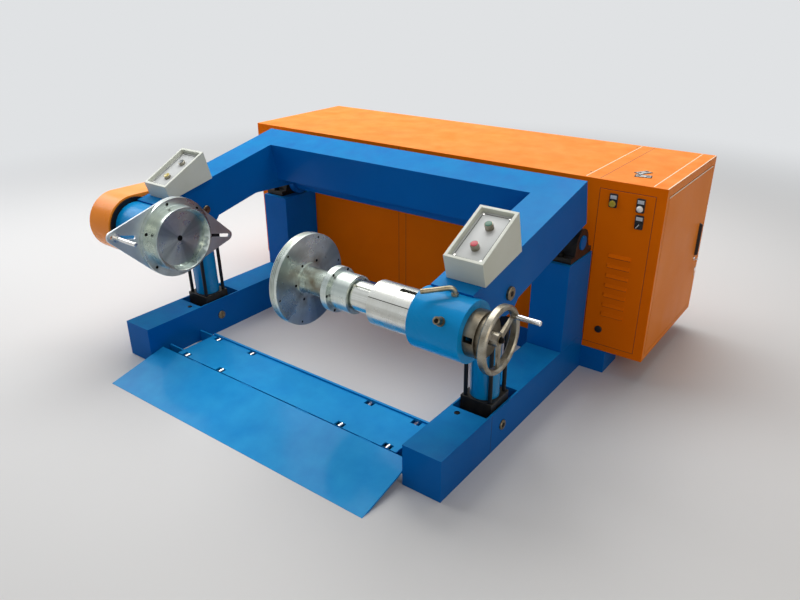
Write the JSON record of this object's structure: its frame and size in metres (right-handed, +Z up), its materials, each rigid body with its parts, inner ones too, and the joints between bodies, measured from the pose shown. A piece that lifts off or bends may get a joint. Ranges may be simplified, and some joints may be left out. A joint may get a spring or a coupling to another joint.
{
  "type": "wire pay-off machine",
  "caption": "Pay-off machine for wire reels: a swing frame with a driving plate and a clamping tailstock over an open bay, lift cylinders, ramp and drive cabinet.",
  "frame": {"origin": "on the floor, at the middle of the cross beam under the cabinet's front", "axes": "+X to the handwheel side, +Y from the ramp to the cabinet, +Z up"},
  "size_m": [2.302, 2.049, 0.9206],
  "materials": {
    "blue_paint": "sprayed semi-gloss machine enamel",
    "cylinder_paint": "glossy paint on the cylinder tube",
    "orange_paint": "semi-gloss powder coat",
    "grey_paint": "satin powder coat",
    "machined_steel": "turned and ground, bright",
    "black_metal": "black oxide and black paint",
    "pin_steel": "turned, dark with oil",
    "black_plastic": "moulded",
    "button_plastic": "moulded, glossy"
  },
  "bodies": {
    "base": {"left_side_beam": "blue_paint", "right_side_beam": "blue_paint", "posts": "blue_paint", "pillow_blocks": "black_metal", "cross_beams": "blue_paint", "stand_rails": "blue_paint", "base_pins": "pin_steel", "platform": "blue_paint", "rollers": "machined_steel", "hinge_pins": "machined_steel", "drive_housing": "orange_paint", "switch_room_floor": "orange_paint", "switch_room_roof": "orange_paint", "switch_room_front": "orange_paint", "switch_room_back": "orange_paint", "side_frame": "orange_paint", "door_hinges": "orange_paint", "switch_panel": "orange_paint", "panel_switches": "button_plastic"},
    "swing_frame": {"left_arm": "blue_paint", "right_arm": "blue_paint", "rear_beam": "blue_paint", "lift_pins": "pin_steel", "pivot_tube": "blue_paint", "pivot_lugs": "blue_paint", "drive_barrel": "blue_paint", "guard_ring": "black_metal", "belt_guard": "orange_paint", "tail_barrel": "blue_paint", "sleeve": "machined_steel", "lantern": "machined_steel", "lock_screw": "black_metal", "left_control_box": "grey_paint", "right_control_box": "grey_paint", "push_buttons": "button_plastic"},
    "left_cylinder": {"left_cylinder_cap": "black_metal", "left_cylinder_tube": "cylinder_paint", "left_cylinder_head": "black_metal"},
    "right_cylinder": {"right_cylinder_cap": "black_metal", "right_cylinder_tube": "cylinder_paint", "right_cylinder_head": "black_metal"},
    "left_rod": {"left_piston_rod": "machined_steel"},
    "right_rod": {"right_piston_rod": "machined_steel"},
    "drive_spindle": {"drive_spindle": "machined_steel", "drive_plate": "machined_steel", "drive_flange": "machined_steel", "driver_pin": "machined_steel"},
    "quill": {"quill": "machined_steel", "bearing_housing": "machined_steel"},
    "clamp_head": {"clamp_disc": "machined_steel"},
    "handwheel": {"handwheel": "machined_steel", "crank_handle": "machined_steel"},
    "clamp_lever": {"clamp_lever": "machined_steel"},
    "ramp_leaf": {"ramp_leaf": "blue_paint"},
    "cabinet_door": {"cabinet_door": "orange_paint", "door_handle": "black_plastic"}
  },
  "joints": [
    {"name": "frame_lift", "type": "hinge", "parent": "base", "child": "swing_frame", "pos_m": [0, -0.19, 0.626], "axis": [-1, 0, 0], "range_deg": [0, 12]},
    {"name": "left_cylinder_tilt", "type": "hinge", "parent": "base", "child": "left_cylinder", "pos_m": [-0.792, -0.804, 0.085], "axis": [-1, 0, 0], "range_deg": [-0.1, 1.6]},
    {"name": "left_rod_slide", "type": "slide", "parent": "left_cylinder", "child": "left_rod", "axis": [0, -0.0254, 0.9997], "range_m": [0, 0.132]},
    {"name": "right_cylinder_tilt", "type": "hinge", "parent": "base", "child": "right_cylinder", "pos_m": [0.792, -0.804, 0.085], "axis": [-1, 0, 0], "range_deg": [-0.1, 1.6]},
    {"name": "right_rod_slide", "type": "slide", "parent": "right_cylinder", "child": "right_rod", "axis": [0, -0.0254, 0.9997], "range_m": [0, 0.132]},
    {"name": "spindle_spin", "type": "hinge", "parent": "swing_frame", "child": "drive_spindle", "pos_m": [-0.7, -1.0845, 0.6016], "axis": [1, 0, 0], "continuous": true},
    {"name": "handwheel_turn", "type": "hinge", "parent": "swing_frame", "child": "handwheel", "pos_m": [0.983, -1.0845, 0.6016], "axis": [1, 0, 0], "range_deg": [-3240, 720]},
    {"name": "quill_slide", "type": "slide", "parent": "swing_frame", "child": "quill", "axis": [-1, 0, 0], "range_m": [-0.091, 0.021]},
    {"name": "head_spin", "type": "hinge", "parent": "quill", "child": "clamp_head", "pos_m": [0.25, -1.0845, 0.6016], "axis": [1, 0, 0], "continuous": true},
    {"name": "lever_turn", "type": "hinge", "parent": "swing_frame", "child": "clamp_lever", "pos_m": [0.8195, -1.0845, 0.72], "axis": [0, 0, 1], "range_deg": [-25, 60]},
    {"name": "leaf_fold", "type": "hinge", "parent": "base", "child": "ramp_leaf", "pos_m": [0, -1.158, 0.058], "axis": [-1, 0, 0], "range_deg": [0, 90]},
    {"name": "door_swing", "type": "hinge", "parent": "base", "child": "cabinet_door", "pos_m": [1.132, -0.03, 0.48], "axis": [0, 0, -1], "range_deg": [0, 110]}
  ],
  "couplings": [
    {"joint": "left_cylinder_tilt", "follows": "frame_lift", "ratio": 0.1175},
    {"joint": "left_rod_slide", "follows": "frame_lift", "m_per_rad": 0.626},
    {"joint": "right_cylinder_tilt", "follows": "frame_lift", "ratio": 0.1175},
    {"joint": "right_rod_slide", "follows": "frame_lift", "m_per_rad": 0.626},
    {"joint": "quill_slide", "follows": "handwheel_turn", "m_per_rad": 0.0015915}
  ]
}
